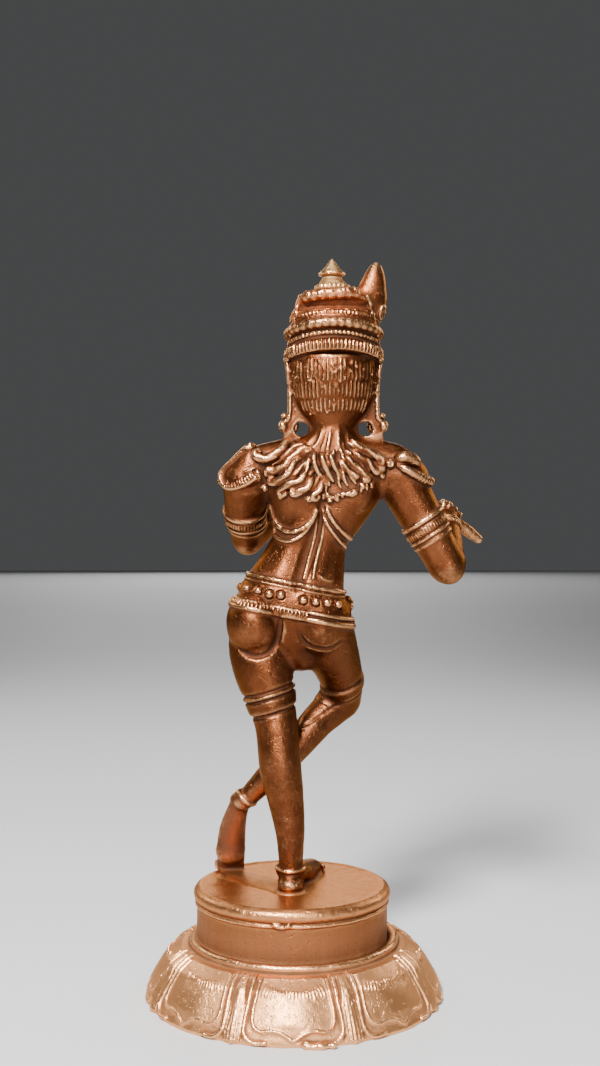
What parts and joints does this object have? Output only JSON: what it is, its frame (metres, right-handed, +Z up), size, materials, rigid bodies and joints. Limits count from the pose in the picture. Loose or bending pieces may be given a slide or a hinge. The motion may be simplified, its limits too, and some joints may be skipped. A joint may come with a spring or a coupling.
{
  "type": "krishna figure",
  "caption": "Cast copper figure of a crowned flute player with crossed legs, standing on a round drum over a lotus base.",
  "frame": {"origin": "middle of the lotus base's flat underside", "axes": "+Z up, the figure faces -Y, +X is the figure's left"},
  "size_m": [0.0716, 0.0608, 0.15],
  "materials": {
    "cast_copper": "cast copper alloy, rubbed bright on the raised parts and dark brown in the recesses"
  },
  "bodies": {
    "root": {"krishna_figure": "cast_copper"}
  },
  "joints": []
}
